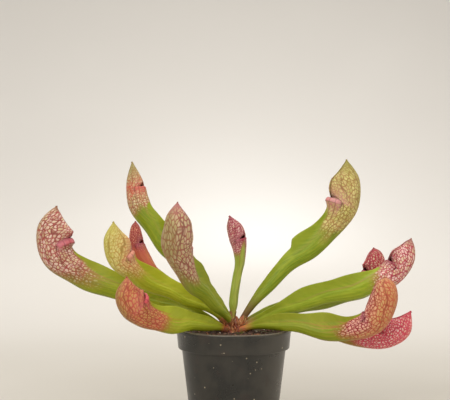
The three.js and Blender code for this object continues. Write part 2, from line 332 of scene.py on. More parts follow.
pitcherForm = dict(
    wall=0.8, footDepth=3.8, ribs=13, ribDepth=0.1,
    wingEdge=0.45, wingRoot=0.9, wingAngle=34, wingColumns=0.28,  # the wing takes this share of the columns
    notchDepth=0.55, notchReach=0.018, waves=((17, 2, 0.9), (61, 1, 0.25)),  # waves: turns, phase and height
    lipAngle=64, lipRoll=0.055, flare=0.05,  # the lip's roll and flare are shares of the girth
    lipTall=1.8, rollStart=-40,  # how much taller than thick the roll is, and the angle where it starts
    rollOut=1.77, rollFoot=0.64,  # how many of its radii the roll stands out, and starts under the rim
    rimRadius=0.44, collar=6.5,  # collar is how far under the lip the tube starts to swell towards it
    overlap=4, closing=0.2, hoodPower=6.5,  # closing is how far up the hood its two edges meet in front
    lap=0.5, lapWidth=14,  # how far one edge stands out over the other, and over how many degrees
    slantStart=0.5, hollowStart=0.41, columns=84, outerRows=140, rimRows=12, innerRows=48,
)
tubeDepth = [(0, 0.18), (0.1, 0.22), (0.2, 0.31), (0.3, 0.38), (0.4, 0.46), (0.5, 0.54), (0.6, 0.66),
             (0.7, 0.85), (0.78, 1), (0.86, 0.98), (0.91, 0.84), (0.96, 0.44), (1, 0.03)]
bluntHood = [*tubeDepth[:9], (0.86, 1), (0.91, 0.97), (0.96, 0.8), (0.985, 0.5), (1, 0.03)]
slenderHood = [*tubeDepth[:9], (0.86, 0.88), (0.91, 0.68), (0.96, 0.34), (1, 0.03)]
hoodFront = [(0, 0.97), (0.08, 0.98), (0.2, 1.12), (0.38, 1.26), (0.58, 1.24), (0.76, 1.06), (0.9, 0.85),
             (1, 0.4)]
tubeWidth = [(0, 1), (0.5, 0.95), (0.74, 1), (0.88, 0.82), (1, 0.75)]
wingHeight = [(0, 0.05), (0.1, 0.3), (0.2, 0.55), (0.3, 0.8), (0.42, 1), (0.5, 1), (0.6, 0.7), (0.7, 0.2),
              (0.78, 0.05), (1, 0)]

# What a pitcher has where its own dictionary says nothing else. crest is 1 for a blunt hood and -1 for a
# slender one, and overhang how far the hood stands out in front. flare and fleshy scale the lip's flare and
# roll. stem is the least depth above the foot, in mm, and notch where the wing steps up to its full height.
# veins is how many long veins there are, branches how strong the stout ones between them are, dots how much
# smaller the windows are, and bare how much later they start on the back. base is the foot's tone and how far
# up it reaches, and blush how far the lip's tone spreads, both in mm.
usualPitcher = dict(
    crest=0, overhang=1, flare=1, fleshy=1, stem=pitcherForm["footDepth"], notch=-1,
    veins=7, branches=0.7, dots=0, bare=0.06, sideVein=None, sideWindow=None, girdle=None,
    # spine is the tint of the strip down the back; the usual dark olive is partly the leaf's own colour and
    # partly painted shade
    spine=(136, 128, 62), spineWidth=0.2, keel=(150, 146, 60), base=((176, 120, 70), 11),
    tipStart=0.95, blush=9,
)

# path is (reach, heading, height) from the foot to the hood's tip, in mm and degrees. lip is where the lip is
# along the length, round the width as a share of the depth, and cell the size of a window in mm. net and
# streaks say where along the length the windows and the lone veins begin and are full.
pitchers = [
    dict(name="farLeftPitcher", node="pitcher_far_left", girth=25, wing=9, lip=0.81, crest=0.2, round=0.82,
         phase=0.4, fleshy=1.5, overhang=1.9,
         path=[(8, 178, 79.5), (26, 175, 89), (54, 176, 99.5), (99, 176, 114), (122.5, 175, 123),
               (141.5, 175, 136), (147, 175, 154.5), (142.5, 175, 175.5)],
         green=(144, 150, 16), deep=(122, 140, 8), window=(228, 200, 182), vein=(160, 78, 70),
         streak=(160, 92, 56), lipTone=(204, 92, 104), tip=(156, 120, 84), flush=(196, 104, 104),
         keel=(124, 76, 56),
         net=(0.5, 0.7), streaks=(0.4, 0.64), cell=2.1, veins=6, bare=0.14, tipStart=0.975),
    dict(name="leftYellowPitcher", node="pitcher_left_yellow", girth=18, wing=8, lip=0.75, round=0.82,
         phase=1.7, fleshy=1.3,
         path=[(5.5, 205, 84.5), (20, 200, 96), (46, 199, 109), (74, 198, 123), (89, 198, 134),
               (94, 198, 148), (95, 198, 162.5)],
         green=(172, 176, 36), deep=(152, 164, 20), window=(224, 214, 140), vein=(188, 160, 74),
         streak=(176, 140, 50), lipTone=(222, 132, 104), tip=(190, 180, 84), flush=(208, 170, 88),
         sideVein=(204, 134, 84), sideWindow=(232, 204, 140), spine=(172, 172, 62),
         net=(0.55, 0.7), streaks=(0.45, 0.62), cell=1.75, veins=6, branches=0.4, dots=-0.03, bare=0.1,
         tipStart=0.88),
    dict(name="backLeftPitcher", node="pitcher_back_left", girth=20, wing=11, lip=0.85, crest=-0.9,
         round=0.85, phase=2.6, flare=0, fleshy=0.7, overhang=0.45,
         path=[(5.5, 155, 85), (19, 149, 103), (47, 147, 129), (77, 147, 158), (94, 147, 176),
               (101, 147, 196), (104, 147, 215)],
         green=(140, 150, 14), deep=(112, 134, 6), window=(220, 206, 164), vein=(168, 110, 74),
         streak=(150, 140, 50), lipTone=(204, 88, 70), tip=(150, 146, 84), flush=(204, 104, 84),
         girdle=(206, 84, 70), base=((150, 110, 60), 8),
         net=(0.68, 0.76), streaks=(0.6, 0.72), cell=1.85, tipStart=0.86, blush=12),
    dict(name="smallRedPitcher", node="pitcher_small_red", girth=14, wing=3, lip=0.84, crest=0.8, round=1,
         phase=0.9, flare=0, fleshy=0.8, overhang=0.7,
         path=[(8, 122, 79.5), (28, 126, 91), (55, 131, 102), (80, 134, 110), (97, 135, 119),
               (114, 135, 133), (123, 135, 147), (124, 135, 164)],
         green=(180, 92, 56), deep=(168, 78, 46), window=(232, 176, 140), vein=(164, 52, 48),
         streak=(184, 84, 60), lipTone=(150, 50, 60), tip=(150, 64, 60), flush=(176, 66, 66),
         base=((150, 70, 54), 30),
         net=(0.74, 0.86), streaks=(0.2, 0.5), cell=1.3, dots=0.1),
    dict(name="frontLeftPitcher", node="pitcher_front_left", girth=25.5, wing=9, lip=0.7, crest=-0.6,
         round=0.85, phase=3.4, flare=0, fleshy=0.5,
         path=[(5.5, 255, 84.5), (20, 240, 97), (42, 237, 114), (62, 237, 130), (74, 237, 146),
               (77, 238.5, 161), (75, 237.5, 176)],
         green=(142, 148, 34), deep=(116, 136, 22), window=(212, 190, 154), vein=(156, 94, 80),
         streak=(150, 132, 60), lipTone=(186, 116, 108), tip=(174, 100, 104), flush=(180, 104, 88),
         base=((150, 140, 60), 6),
         net=(0.44, 0.58), streaks=(0.4, 0.52), cell=2.4, tipStart=0.88, blush=14),
    dict(name="lowLeftPitcher", node="pitcher_low_left", girth=21, wing=8, lip=0.77, crest=-0.5, round=0.9,
         phase=4.1, fleshy=0.9,
         path=[(8, 224, 79.5), (22, 224, 84), (44, 218, 88.4), (66, 216, 91.5), (81, 215, 96.5),
               (92.5, 215, 108), (94, 215, 123)],
         green=(162, 170, 36), deep=(146, 158, 22), window=(210, 148, 102), vein=(176, 80, 58),
         streak=(184, 92, 60), lipTone=(206, 84, 92), tip=(196, 110, 84), flush=(214, 96, 80),
         keel=(160, 100, 66), base=((196, 104, 66), 8),
         net=(0.42, 0.6), streaks=(0.3, 0.5), cell=2.0, veins=6, bare=0.04, blush=14),
    dict(name="smallCentrePitcher", node="pitcher_small_centre", girth=14, wing=2, lip=0.75, crest=-0.5,
         round=1, phase=5.3, flare=0, stem=7.2, fleshy=0.7, overhang=0.45,
         path=[(1.4, 135, 85.5), (5, 83, 105), (8.6, 69, 119), (11.2, 62, 131), (12.1, 67, 143),
               (10.6, 79, 154), (6.2, 122, 167.5)],
         green=(162, 172, 70), deep=(136, 156, 44), window=(240, 204, 196), vein=(172, 62, 82),
         streak=(170, 110, 70), lipTone=(170, 60, 80), tip=(156, 64, 80), flush=(176, 72, 92),
         base=((160, 140, 70), 8),
         net=(0.54, 0.66), streaks=(0.46, 0.6), cell=1.3, dots=0.04),
    dict(name="upperRightPitcher", node="pitcher_upper_right", girth=23, wing=9, lip=0.765, round=0.82,
         phase=3.36, flare=1.4, fleshy=1.2, notch=0.44,
         path=[(5.5, 20, 84.5), (21, 9, 107), (45, 8, 133.5), (72.5, 8, 154.5), (88.5, 8, 174),
               (92.5, 8, 196), (92, 8, 213)],
         green=(144, 158, 34), deep=(118, 142, 20), window=(218, 208, 136), vein=(166, 134, 70),
         streak=(150, 140, 50), lipTone=(216, 136, 134), tip=(150, 146, 66), flush=(200, 150, 104),
         base=((116, 70, 56), 30),
         net=(0.54, 0.66), streaks=(0.5, 0.62), cell=1.95, veins=6, branches=0.4, tipStart=0.9, blush=16),
    dict(name="rightPitcher", node="pitcher_right", girth=21, wing=9.5, lip=0.81, crest=0.35, round=0.9,
         phase=1.1, flare=0.6, fleshy=0.6,
         path=[(8, 28, 80), (30, 21, 89.5), (68, 20, 102.5), (112, 20, 110.3), (140, 20, 118),
               (155, 20, 131.5), (163, 20, 149)],
         green=(154, 168, 32), deep=(134, 156, 20), window=(246, 214, 202), vein=(186, 66, 84),
         streak=(180, 120, 90), lipTone=(150, 44, 60), tip=(150, 104, 84), flush=(200, 84, 100),
         base=((206, 146, 100), 14),
         net=(0.62, 0.74), streaks=(0.7, 0.82), cell=2.0, bare=0),
    dict(name="backRightPitcher", node="pitcher_back_right", girth=21, wing=6, lip=0.84, crest=0.9,
         round=0.9, phase=2.4, flare=0, fleshy=0.4, overhang=1.6,
         path=[(8, 70, 79.8), (30, 46, 87), (70, 37, 94), (112, 34, 101.5), (140, 33, 109),
               (149.5, 32, 122.5), (147.5, 32, 140.5)],
         green=(136, 146, 30), deep=(118, 136, 24), window=(244, 214, 190), vein=(190, 56, 76),
         streak=(176, 70, 60), lipTone=(186, 60, 78), tip=(170, 60, 70), flush=(186, 56, 74),
         base=((150, 84, 58), 20),
         net=(0.72, 0.8), streaks=(0.66, 0.76), cell=1.75, dots=0.08),
    dict(name="frontRightPitcher", node="pitcher_front_right", girth=19, wing=8.5, lip=0.74, crest=0.9,
         round=1.05, phase=3.1, flare=0, fleshy=0.35, overhang=0.25,
         path=[(8, -50, 79.5), (26, -36, 84.8), (45, -31, 87.3), (70, -28.5, 86), (94, -28, 85),
               (111, -28, 91), (120, -28, 106), (121.5, -28, 123)],
         green=(140, 146, 24), deep=(124, 138, 14), window=(216, 164, 114), vein=(182, 84, 58),
         streak=(186, 92, 66), lipTone=(150, 50, 66), tip=(200, 138, 100), flush=(200, 120, 90),
         sideVein=(150, 38, 54), sideWindow=(236, 178, 160), spine=(196, 122, 84), spineWidth=0.2,
         base=((212, 128, 84), 12),
         net=(0.52, 0.64), streaks=(0.34, 0.56), cell=1.9, veins=6, branches=0.4, tipStart=0.985, blush=5),
    dict(name="lowRightPitcher", node="pitcher_low_right", girth=17, wing=4, lip=0.8, round=0.95, phase=4.6,
         flare=0.4, fleshy=0.5,
         path=[(8, -9, 79.5), (27, -13, 85), (46, -15, 86.5), (70, -16, 82.5), (92, -17, 77.5),
               (113, -17, 77.3), (127, -17, 83.5), (135, -17, 97)],
         green=(156, 124, 40), deep=(148, 132, 36), window=(250, 216, 208), vein=(218, 76, 98),
         streak=(190, 90, 70), lipTone=(190, 48, 72), tip=(204, 66, 86), flush=(212, 84, 100),
         spine=(222, 122, 112), base=((200, 120, 84), 14),
         net=(0.56, 0.68), streaks=(0.4, 0.6), cell=1.5, dots=0.1),
]
pitchers = [{**usualPitcher, **plant} for plant in pitchers]


def pitcherSections(plant, count=300):
    # evenly spaced sections along the path: middle, front, across and (depth, width, wing)
    points = [polar(*p) for p in plant["path"]]
    ends = [2 * points[0] - points[1], *points, 2 * points[-1] - points[-2]]
    track = []
    for a, b, c, d in zip(ends, ends[1:], ends[2:], ends[3:]):
        before, span, after = [math.sqrt((q - p).length) for p, q in ((a, b), (b, c), (c, d))]
        leave = ((b - a) / before - (c - a) / (before + span) + (c - b) / span) * span
        reach = ((c - b) / span - (d - b) / (span + after) + (d - c) / after) * span
        track += interpolate_bezier(b, b + leave / 3, c - reach / 3, c, 60)[:-1]
    track.append(points[-1])
    walked = [0.0]
    for p, q in zip(track, track[1:]):
        walked.append(walked[-1] + (q - p).length)
    plant["length"] = walked[-1]
    middles, k = [], 0
    for i in range(count + 1):
        want = walked[-1] * i / count
        while k < len(track) - 2 and walked[k + 1] < want:
            k += 1
        middles.append(track[k].lerp(track[k + 1], (want - walked[k]) / (walked[k + 1] - walked[k])))
    inward = polar(-1, plant["path"][-1][1], 1)
    crest = plant["crest"]
    hood = bluntHood if crest > 0 else slenderHood
    sections = []
    for i, middle in enumerate(middles):
        s = i / count
        ahead = (middles[min(i + 1, count)] - middles[max(i - 1, 0)]).normalized()
        across = inward.cross(ahead).normalized()
        front = ahead.cross(across).normalized()
        least = lerp(pitcherForm["footDepth"], plant["stem"], smooth(0.04, 0.16, s)) / 2 if s < 0.5 else 0.3
        share = lerp(along(tubeDepth, s), along(hood, s), abs(crest))
        depth = max(plant["girth"] * share / 2, least)
        width = depth * plant["round"] * along(tubeWidth, s)
        wing = plant["wing"] * along(wingHeight, s) * (1 + 0.2 * math.sin(22 * s + plant["phase"]))
        sections.append((middle, front, across, Vector((depth, width, wing))))
    return sections


def sectionAt(sections, s):
    place = clamp(s) * (len(sections) - 1)
    k = min(int(place), len(sections) - 2)
    return [a.lerp(b, place - k) for a, b in zip(sections[k], sections[k + 1])]


def hoodShare(plant, s):
    # how far up the hood a place along the length is
    return clamp((s - plant["lip"]) / (1 - plant["lip"]))


def columnEnd(plant, angle):
    # how far along the length the column at this angle runs: to the lip, or up the hood
    lipAngle = pitcherForm["lipAngle"]
    side = clamp((angle - lipAngle) / (180 - lipAngle))
    return plant["lip"] + (1 - plant["lip"]) * (1 - (1 - side) ** pitcherForm["hoodPower"])


def edgeAngle(hooded):
    # the column whose end lies this far up the hood
    lipAngle = pitcherForm["lipAngle"]
    left = (1 - clamp(hooded, 0, 0.999)) ** (1 / pitcherForm["hoodPower"])
    return lipAngle + (180 - lipAngle) * (1 - left)


def bentAngle(plant, angle, side, s):
    # where a column runs once the hood's two edges come together in front
    form = pitcherForm
    hooded = hoodShare(plant, s)
    if hooded == 0:
        return angle
    edge = edgeAngle(hooded)
    closed = lerp(form["lipAngle"], -form["overlap"] * side, smooth(0, form["closing"], hooded))
    return lerp(closed, 180, clamp((angle - edge) / (180 - edge)))


def rimDistance(plant, angle, s):
    # how far a point of the skin is from the free edge of the mouth and hood, in mm
    up = max((columnEnd(plant, angle) - s) * plant["length"], 0)
    hooded = hoodShare(plant, s)
    aside = max(angle - edgeAngle(hooded), 0) * math.radians(plant["girth"] / 2) if hooded > 0 else 99
    return up * aside / math.hypot(up, aside) if up + aside > 0 else 0.0


def lipRadius(plant):
    return max(pitcherForm["lipRoll"] * plant["girth"] * plant["fleshy"], pitcherForm["rimRadius"])


def lipSwell(plant):
    # how far the roll of the lip stands out past the skin
    return max(pitcherForm["rollOut"] * lipRadius(plant) - pitcherForm["wall"], 0)


def lipLift(plant, angle, row):
    # how far the tube stands out on its way up to the lip
    form = pitcherForm
    fade = smoothDown(form["lipAngle"] - 14, form["lipAngle"] + 8, angle)
    near = 1 - form["collar"] / (2 * (plant["lip"] - form["slantStart"]) * plant["length"])
    flared = form["flare"] * plant["flare"] * plant["girth"] * smooth(0.84, 1, row)
    return fade * (flared + lipSwell(plant) * smooth(near, 1, row))


def wingPlace(plant, angle, s, wing, aside):
    # how far the wing stands out in front, its half thickness, and how far it waves to one side
    form = pitcherForm
    share = clamp((form["wingAngle"] - angle) / 30)
    step = smooth(plant["notch"] - form["notchReach"], plant["notch"] + form["notchReach"], s)
    blade = wing * lerp(form["notchDepth"], 1, step) * share * (0.55 + 0.45 * share)
    flat = clamp(wing / 3)
    thick = lerp(form["wingEdge"], form["wingRoot"], smooth(3, 20, angle)) * math.sqrt(clamp(angle / 5))
    aside = lerp(aside, thick, flat * smooth(form["wingAngle"], 16, angle)) if angle > 0 else 0
    wave = sum(tall * math.sin(turns * s + more * plant["phase"]) for turns, more, tall in form["waves"])
    return blade, aside, flat * share * share * wave


def pitcherPoint(plant, sections, angle, side, s, row, inset):
    # a point of the skin, or inset from it, and the way out of it. angle is 0 at the wing and 180 behind
    form = pitcherForm
    middle, front, across, (depth, width, wing) = sectionAt(sections, s)
    hooded = hoodShare(plant, s)
    bent = bentAngle(plant, angle, side, s)
    frontReach = lerp(1, along(hoodFront, hooded), plant["overhang"]) if hooded > 0 else 1
    cos, sin = math.cos(math.radians(bent)), math.sin(math.radians(bent))
    normal = Vector((cos / depth, sin / width)).normalized()
    ribs = math.cos(math.radians(angle * form["ribs"])) * smooth(0.15, 0.4, s) * smoothDown(0.95, 1, s)
    lift = form["ribDepth"] * ribs - inset
    if inset == 0 and angle < form["lipAngle"] + 10:
        lift += lipLift(plant, angle, row)
    lift += form["lap"] * side * bell(bent, 0, form["lapWidth"]) * smooth(0.1, 0.3, hooded)
    forward = depth * cos * lerp(1, frontReach, clamp(cos * 1.6)) + normal.x * lift
    aside = width * sin + normal.y * lift
    wave = 0
    if inset <= 0 and angle < form["wingAngle"]:
        blade, aside, wave = wingPlace(plant, angle, s, wing, aside)
        forward += blade
    way = front * normal.x + across * side * normal.y
    return middle + front * (forward - wing / 2) + across * (side * aside + wave), way


def rowPlace(row, end):
    # the rows lie square to the tube at first, and then slant to the rim
    start = pitcherForm["slantStart"]
    return row if row < start else lerp(start, end, (row - start) / (1 - start))


def makeColumn(plant, sections, i, places, tags):
    # one column of the grid, up the outside and down the inside. It gives the mouth that the rim rolls over
    form = pitcherForm
    outer, rim, inner = form["outerRows"], form["rimRows"], form["innerRows"]
    half = form["columns"] // 2
    u = (i - half) / half
    side, share, back = -1 if u < 0 else 1, abs(u), 1 - form["wingColumns"]
    start = form["wingAngle"]
    angle = lerp(180, start, share / back)
    if share >= back:
        angle = lerp(start, 0, (share - back) / form["wingColumns"])
    end = columnEnd(plant, angle)
    fade = smoothDown(form["lipAngle"] - 10, form["lipAngle"] + 6, angle)
    radius = lerp(form["rimRadius"], lipRadius(plant), fade)
    tall = lerp(form["rimRadius"], lipRadius(plant) * form["lipTall"], fade)
    outerEnd = end - form["rollFoot"] * tall * fade / plant["length"]

    def tag(s, rimAt, wing):
        # what the material reads: the way round and along in mm, the column, the share along, rim and wing
        depth, width, _ = sectionAt(sections, s)[3]
        arc = side * (180 - bentAngle(plant, angle, side, s)) / 180 * math.pi * (depth + width) / 2
        return Vector((arc, s * plant["length"], u)), Vector((s, rimAt, wing))

    for j in range(outer + 1):
        s = rowPlace(j / outer, outerEnd)
        places[i, j], _ = pitcherPoint(plant, sections, angle, side, s, j / outer, 0)
        tags[i, j] = tag(s, rimDistance(plant, angle, s), clamp((start - angle) / start))
    for k in range(1, rim + 1):
        tags[i, outer + k] = tag(end, -3 * radius * k / rim, 0)
    for k in range(1, inner + 1):
        row = lerp(1, form["hollowStart"], (k / inner) ** 1.3)
        s = rowPlace(row, end)
        places[i, outer + rim + k], _ = pitcherPoint(plant, sections, angle, side, s, row, form["wall"])
        tags[i, outer + rim + k] = tag(s, rimDistance(plant, angle, s), -1)
    mouth, way = pitcherPoint(plant, sections, angle, side, end, 1, 0)
    return mouth - way * fade * lipSwell(plant), way, radius, tall, form["rollStart"] * fade


def rollRim(mouths, places):
    # the rows over the rim, which turn from the outer skin to the inner one
    outer, rim = pitcherForm["outerRows"], pitcherForm["rimRows"]
    for i, (mouth, way, radius, tall, first) in enumerate(mouths):
        edge = mouths[min(i + 1, len(mouths) - 1)][0] - mouths[max(i - 1, 0)][0]
        up = way.cross(edge).normalized()
        if up.dot(mouth - places[i, outer - 6]) < 0:
            up.negate()
        centre = mouth + way * (radius - pitcherForm["wall"])
        for k in range(1, rim + 1):
            turn = math.radians(lerp(first, 180, k / (rim + 1)))
            places[i, outer + k] = centre + way * math.cos(turn) * radius + up * math.sin(turn) * tall


def makePitcher(plant, material):
    sections = pitcherSections(plant)
    columns = pitcherForm["columns"]
    rows = pitcherForm["outerRows"] + pitcherForm["rimRows"] + pitcherForm["innerRows"]
    places, tags = {}, {}
    rollRim([makeColumn(plant, sections, i, places, tags) for i in range(columns + 1)], places)
    bm = bmesh.new()
    skin = bm.loops.layers.float_vector.new("skin")
    zone = bm.loops.layers.float_vector.new("zone")
    verts = bmesh.ops.create_grid(bm, x_segments=columns, y_segments=rows, size=0.5)["verts"]
    spot = {v: (round((v.co.x + 0.5) * columns), round((v.co.y + 0.5) * rows)) for v in verts}
    for face in bm.faces:
        for loop in face.loops:
            loop[skin], loop[zone] = tags[spot[loop.vert]]
    for vert in verts:
        vert.co = places[spot[vert]]
    bmesh.ops.remove_doubles(bm, verts=bm.verts, dist=0.004)
    rest = [e for e in bm.edges if e.is_boundary]
    for face in bmesh.ops.holes_fill(bm, edges=rest, sides=0)["faces"]:
        for loop in face.loops:
            other = next(l for l in loop.vert.link_loops if l.face != face)
            loop[skin], loop[zone] = other[skin], other[zone]
    bmesh.ops.recalc_face_normals(bm, faces=bm.faces)
    addPiece(plant["name"], bm, material, plant["node"], [plant["node"]])


# The patterns on the skin of every pitcher. relief and grain are in metres, the rest in mm or shares.
skinForm = dict(
    stretch=0.68, wander=3.2,  # windows are longer than wide, and their net wanders this far
    rounding=0.34, paneEdge=0.27, paneFull=0.25,  # how round the windows are, and where in a cell they end
    stoutAcross=0.3, stoutAlong=0.17, longBend=1.7, lateWing=0.3,
    roughness=(0.42, 0.58), relief=0.00022, grain=0.00006,
)


def readSkin(finish, plant):
    # the patterns that the tube, the head and the edges share
    form = skinForm
    look = SimpleNamespace()
    arc, look.length, turn = finish.split("skin")
    look.s, look.rim, look.wing = finish.split("zone")
    seed = plant["phase"] * 37
    flat = finish.vector(arc, finish.times(look.length, form["stretch"]), seed)
    wobble = finish.node("TexNoise", Vector=flat, Scale=0.16, Detail=2.0).outputs["Color"]
    reach = (form["wander"], form["wander"], 0)
    where = finish.inOrder(finish.node("VectorMath", {"operation": "MULTIPLY_ADD"}), wobble, reach, flat)

    # the windows, as cells with their corners rounded off
    cells = finish.cells(where, 1 / plant["cell"], 0.9)
    look.each = finish.cells(where, 1 / plant["cell"], 0.9, "F1")
    corner = finish.times(finish.minus(look.each["Distance"], 0.38), form["rounding"])
    edge = finish.minus(cells["Distance"], finish.sums("MAXIMUM", corner, 0.0))

    # stouter veins around groups of windows, and long ones that run together towards the foot and the tip
    spread = (form["stoutAcross"] / plant["cell"], form["stoutAlong"] / plant["cell"], 1)
    stout = finish.cells(finish.stretch(where, spread), 1.0, 0.8)
    branches = finish.band(stout["Distance"], 0.01, 0.06, plant["branches"], 0)
    bend = finish.times(finish.minus(finish.noise(flat, 0.09, 2), 0.5), form["longBend"])
    look.lines = finish.sums("PINGPONG", finish.sums("ADD", finish.times(turn, plant["veins"]), bend), 0.5)
    look.long = finish.sums("MAXIMUM", finish.band(look.lines, 0.02, 0.1, 1, 0), branches)

    look.besides = finish.sums("ABSOLUTE", turn)  # 0 on the back, 1 at the wing's edge
    look.patch = finish.noise(flat, 0.12, 3)
    drawnOut = finish.vector(finish.times(arc, 1.6), finish.times(look.length, 0.07), seed)
    look.fine = finish.noise(drawnOut, 1, 3)

    # how far up the net has come in, later on the wing and on the back
    look.near = finish.sums("ADD", look.s, finish.times(finish.minus(look.patch, 0.5), 0.16))
    late = finish.times(finish.band(look.wing, 0, 1), finish.band(look.s, 0.7, 0.76, form["lateWing"], 0))
    away = finish.minus(look.near, late)
    away = finish.minus(away, finish.band(look.besides, 0.05, 0.5, plant["bare"], 0))
    look.net = finish.band(away, *plant["net"])
    offBack = finish.band(look.besides, 0.45, 0.68, 0.15, 1)
    look.streaks = finish.times(finish.band(away, *plant["streaks"]), offBack)
    low = finish.sums("MULTIPLY_ADD", look.net, -form["paneFull"], form["paneEdge"] + plant["dots"])
    look.opened = finish.band(edge, low, finish.sums("ADD", low, 0.17))
    window = finish.times(look.opened, finish.minus(1, finish.times(look.long, 0.9)))
    look.window = finish.times(window, finish.band(finish.noise(flat, 0.3, 2), 0.3, 0.6, 0.62, 1))
    return look


def tubeColour(finish, plant, look):
    lined = finish.times(finish.band(look.fine, 0.35, 0.65), finish.band(look.wing, 0.2, 0.6, 1, 0.25))
    green = finish.mix(lined, plant["green"], plant["deep"])
    green = finish.mix(finish.band(look.patch, 0.45, 0.75, 0, 0.5), green, shifted(plant["green"], 18))
    fold = finish.times(finish.band(look.wing, 0.0, 0.1), finish.band(look.wing, 0.1, 0.3, 1, 0))
    green = finish.mix(finish.times(fold, finish.band(look.s, 0.2, 0.6, 0.1, 0.35)), green, plant["streak"])
    base, reach = plant["base"]
    up = finish.sums("ADD", look.length, finish.times(look.patch, 6))
    green = finish.mix(finish.band(up, 5, reach + 5, 0.9, 0), green, base)
    lone = finish.times(finish.times(look.streaks, 0.6), finish.band(look.lines, 0.02, 0.2, 1, 0))
    return finish.mix(lone, green, plant["streak"])


def headColour(finish, plant, look):
    dull = blend(plant["window"], plant["green"], 0.2)
    pane = finish.mix(finish.band(look.each["Color"], 0.2, 0.8), plant["window"], dull)
    flushed = blend(plant["vein"], plant["flush"], 0.4)
    threads = finish.mix(finish.band(look.patch, 0.4, 0.6), plant["vein"], flushed)
    if plant["sideVein"]:
        sideways = finish.band(look.besides, 0.2, 0.5)
        threads = finish.mix(sideways, threads, plant["sideVein"])
        pane = finish.mix(sideways, pane, plant["sideWindow"])
    threads = finish.mix(finish.times(look.long, 0.6), threads, darker(plant["vein"], 0.78))
    return finish.mix(look.window, threads, pane)


def edgeColours(finish, plant, look, colour):
    # the back, the lip with its blush, the tip, the rolled edges, the keel and the lining
    s, lip, lipTone = look.s, plant["lip"], plant["lipTone"]
    # the strip down the back: the leaf's own tint, and with the usual dark olive also a painted shade where
    # the back turns away
    spine = finish.band(look.besides, 0.02, plant["spineWidth"], 0.45, 0)
    colour = finish.mix(finish.times(spine, finish.band(s, 0.3, 0.5)), colour, plant["spine"])
    if plant["girdle"]:
        below = finish.band(look.near, lip - 0.04, lip)
        above = finish.band(look.near, lip + 0.02, lip + 0.06, 0.8, 0)
        around = finish.times(finish.times(below, above), finish.band(look.opened, 0.2, 0.8, 1, 0.5))
        colour = finish.mix(around, colour, plant["girdle"])
    fleshy = finish.mix(finish.band(look.patch, 0.35, 0.65), lipTone, blend(lipTone, (222, 222, 222), 0.25))
    fleshy = finish.mix(finish.band(look.lines, 0.02, 0.14, 0.55, 0), fleshy, darker(lipTone, 0.72))
    nearLip = finish.band(s, lip + 0.02, lip + 0.14, 1, 0.1)
    mouth = finish.times(finish.band(look.rim, 0, plant["blush"], 0.85, 0), nearLip)
    colour = finish.mix(finish.times(mouth, finish.band(look.opened, 0.2, 0.8, 1, 0.6)), colour, fleshy)
    colour = finish.mix(finish.band(s, plant["tipStart"], 0.995, 0, 0.75), colour, plant["tip"])
    hem = darker(blend(plant["vein"], plant["tip"], 0.5), 0.9)
    edges = finish.mix(finish.band(s, lip + 0.01, lip + 0.06), fleshy, hem)
    rolled = finish.times(finish.band(look.rim, -0.3, 0.8, 1, 0), finish.band(s, lip, lip + 0.05, 0.9, 0.6))
    colour = finish.mix(rolled, colour, edges)
    colour = finish.mix(finish.band(look.rim, -1.4, -2.8, 0, 0.7), colour, darker(lipTone, 0.66))
    keel = finish.times(finish.band(look.wing, 0.9, 1), finish.band(s, 0.12, 0.3, 0, 0.65))
    colour = finish.mix(keel, colour, plant["keel"])
    return finish.mix(finish.band(look.wing, -0.2, -0.9, 0, 0.35), colour, plant["flush"])


def pitcherMaterial(plant):
    finish = Finish(plant["name"] + "Skin", skinForm["roughness"][0])
    look = readSkin(finish, plant)
    colour = finish.mix(look.net, tubeColour(finish, plant, look), headColour(finish, plant, look))
    colour = edgeColours(finish, plant, look, colour)
    relief = finish.sums("ADD", finish.times(look.window, look.net), finish.times(look.fine, 0.5))
    grain = finish.bump(finish.noise(finish.place(), 2600, 3), skinForm["grain"], 0.5)
    rough = finish.band(look.patch, 0.3, 0.7, *skinForm["roughness"])
    return finish.wear(Base_Color=colour, Roughness=rough,
                       Normal=finish.bump(relief, skinForm["relief"], 0.7, grain),
                       Subsurface_Weight=0.12, Subsurface_Radius=(1.0, 0.6, 0.25), Subsurface_Scale=0.0012,
                       Specular_IOR_Level=0.3)


for plant in pitchers:
    makePitcher(plant, pitcherMaterial(plant))
print("pitchers:", len(pitchers))


# The pot, spun from one profile. The drainage holes are cut out of its floor.

pot = dict(height=80, rim=45, band=43.4, bandHeight=15, shoulder=40.6, foot=32.6, wall=1.3, floor=1.8,
           steps=160, holes=6, holeRadius=4, holeRing=21.5, soften=0.25)
plastic = dict(dark=(33, 32, 28), light=(52, 49, 43), film=(104, 96, 86), shaded=(22, 22, 20),
               lit=(92, 88, 80), rimHighlight=(136, 124, 106), stain=(56, 42, 36), dust=(190, 176, 150),
               roughness=(0.26, 0.4))


def bodyRadius(height):
    return lerp(pot["foot"], pot["shoulder"], height / (pot["height"] - pot["bandHeight"]))


